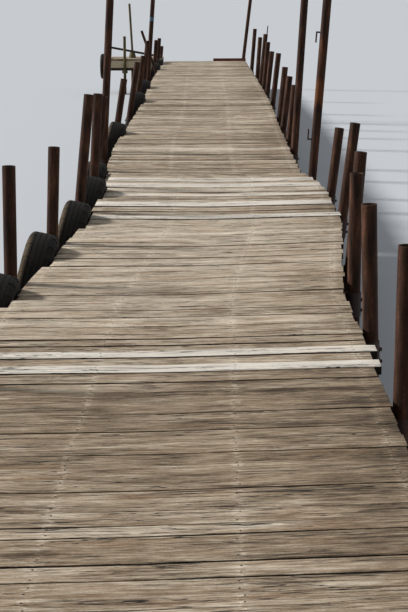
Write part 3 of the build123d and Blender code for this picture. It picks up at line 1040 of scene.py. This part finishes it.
rubber = worn_rubber()
tyre = mould_tyre()
for bay in bays:
    stood = []
    for points in solids_of(f"tyres_bay_{bay}"):
        centre = Vector((points.min(0) + points.max(0)) / 2)
        turn = Matrix.Rotation(math.radians(90 + tyre_lean), 4, "Y")
        roll = Matrix.Rotation(chance.uniform(0, math.tau), 4, "Z")
        stood.append(copy_of(tyre, Matrix.Translation(centre) @ turn @ roll))
    tyres = join(stood, f"tyre_fenders_bay_{bay}")
    coat(tyres, rubber)
    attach(tyres, "root")
    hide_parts(f"tyres_bay_{bay}")


# Lashings: three turns of old rope round each pile and the near wall of its tyre, below the
# deck's level, drawn tight so that the tyre can't slide down.
rope_radius = 0.0036
rope_turns = 3
rope_corner = 0.033
rope_corner_steps = 6
rope_tilt = 0.8


def tie_lashing(low, high):
    """Turns of rope along the middle of a flat band, one above the other."""
    turns = []
    size = high - low
    for turn in range(rope_turns):
        height = low.z + (high.z - low.z) * (turn + 0.5) / rope_turns
        deselect()
        bpy.ops.mesh.primitive_plane_add(size=1, location=(0, 0, 0))
        loop = bpy.context.object
        loop.data.transform(Matrix.Diagonal((size.x - 2 * rope_radius, size.y - 2 * rope_radius, 1, 1)))
        bpy.ops.object.mode_set(mode="EDIT")
        bpy.ops.mesh.select_all(action="SELECT")
        bpy.ops.mesh.bevel(offset=rope_corner, segments=rope_corner_steps, affect="VERTICES")
        bpy.ops.mesh.delete(type="ONLY_FACE")
        bpy.ops.object.mode_set(mode="OBJECT")
        bpy.ops.object.convert(target="CURVE")
        loop.data.bevel_depth = rope_radius
        loop.data.bevel_resolution = 2
        bpy.ops.object.convert(target="MESH")
        tilt = Matrix.Rotation(math.radians(chance.uniform(-rope_tilt, rope_tilt)), 4, "X")
        middle = Vector(((low.x + high.x) / 2, (low.y + high.y) / 2, height))
        loop.data.transform(Matrix.Translation(middle) @ tilt)
        turns.append(loop)
    return turns


material, shader, shades, place = new_finish("old_rope", roughness=0.95, specular=0.1)
strands = place.node("ShaderNodeTexWave", {"bands_direction": "DIAGONAL"}, {"Vector": place, "Scale": 95.0})
fuzz = place.stretched(300, 300, 300).noise(detail=2)
soil = place.stretched(14, 14, 14).noise(detail=3)
rope_brown = (strands * 0.5 + fuzz * 0.3 + soil * 0.4 - 0.1).blend(srgb(58, 50, 40), srgb(150, 136, 112))
finish_with(shader, shades, rope_brown, None, strands + fuzz * 0.4, relief=0.002)
turns = []
for points in solids_of("tyre_lashings"):
    turns += tie_lashing(Vector(points.min(0)), Vector(points.max(0)))
ropes = join(turns, "rope_lashings")
coat(ropes, material)
bpy.ops.object.shade_smooth()
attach(ropes, "root")
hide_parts("tyre_lashings")


# The side landing: short boards on a frame of dark timber, beside the last bay. The board nailed
# along its front is newer and still yellow, painted paler with painted light, and a worn tyre hangs at
# its outer corner.
landing_tone = 0.6
landing_tone_spread = 0.12
# How much of the painted shade on board edges the landing's boards keep
landing_edge_shade = 0.25
low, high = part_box("landing_deck")
laid = []
for start, width in lay_out(chance, low.y, high.y):
    scale = Matrix.Diagonal(((high.x - low.x) / stock_length, width / stock_width, 1, 1))
    board = copy_of(chance.choice(stock_boards), scale)
    give_grain(board, chance, chance.gauss(landing_tone, landing_tone_spread))
    for shade_and_dirt in board.data.attributes["rim"].data:
        shade_and_dirt.value *= landing_edge_shade
    board.data.transform(Matrix.Translation(((low.x + high.x) / 2, start + width / 2, high.z)))
    laid.append(board)
landing = join(laid, "landing_boards")
coat(landing, deck_wood)
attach(landing, "root")
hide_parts("landing_deck")
for stock in stock_boards:
    bpy.data.objects.remove(stock)

# Partly painted light: new yellow timber, its colours raised towards white to stand in for sunlight on the
# landing's front, which faces away from the lamp.
fresh_wood_painted_lit = damp_timber("fresh_timber", srgb(222, 192, 138), srgb(252, 242, 214), (0.8, 9, 9))
paint_cad(fresh_wood_painted_lit, "landing_fascia")
paint_cad(beam_wood, "landing_frame")
paint_cad(stringer_wood, "landing_rail")
olive = rust("olive_post", srgb(54, 50, 30), srgb(100, 90, 52), srgb(140, 118, 70), along=(18, 18, 6))
paint_cad(olive, "landing_posts", "signal_post")

low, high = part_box("landing_tyre")
small = (high.z - low.z) / 2 / tyre_radius
turn = Matrix.Rotation(math.radians(90), 4, "Y")
hung = copy_of(tyre, Matrix.Translation((low + high) / 2) @ turn @ Matrix.Diagonal((small, small, 1, 1)))
hung.name = "landing_tyre_fender"
coat(hung, rubber)
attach(hung, "root")
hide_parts("landing_tyre")
bpy.data.objects.remove(tyre)


low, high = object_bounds()
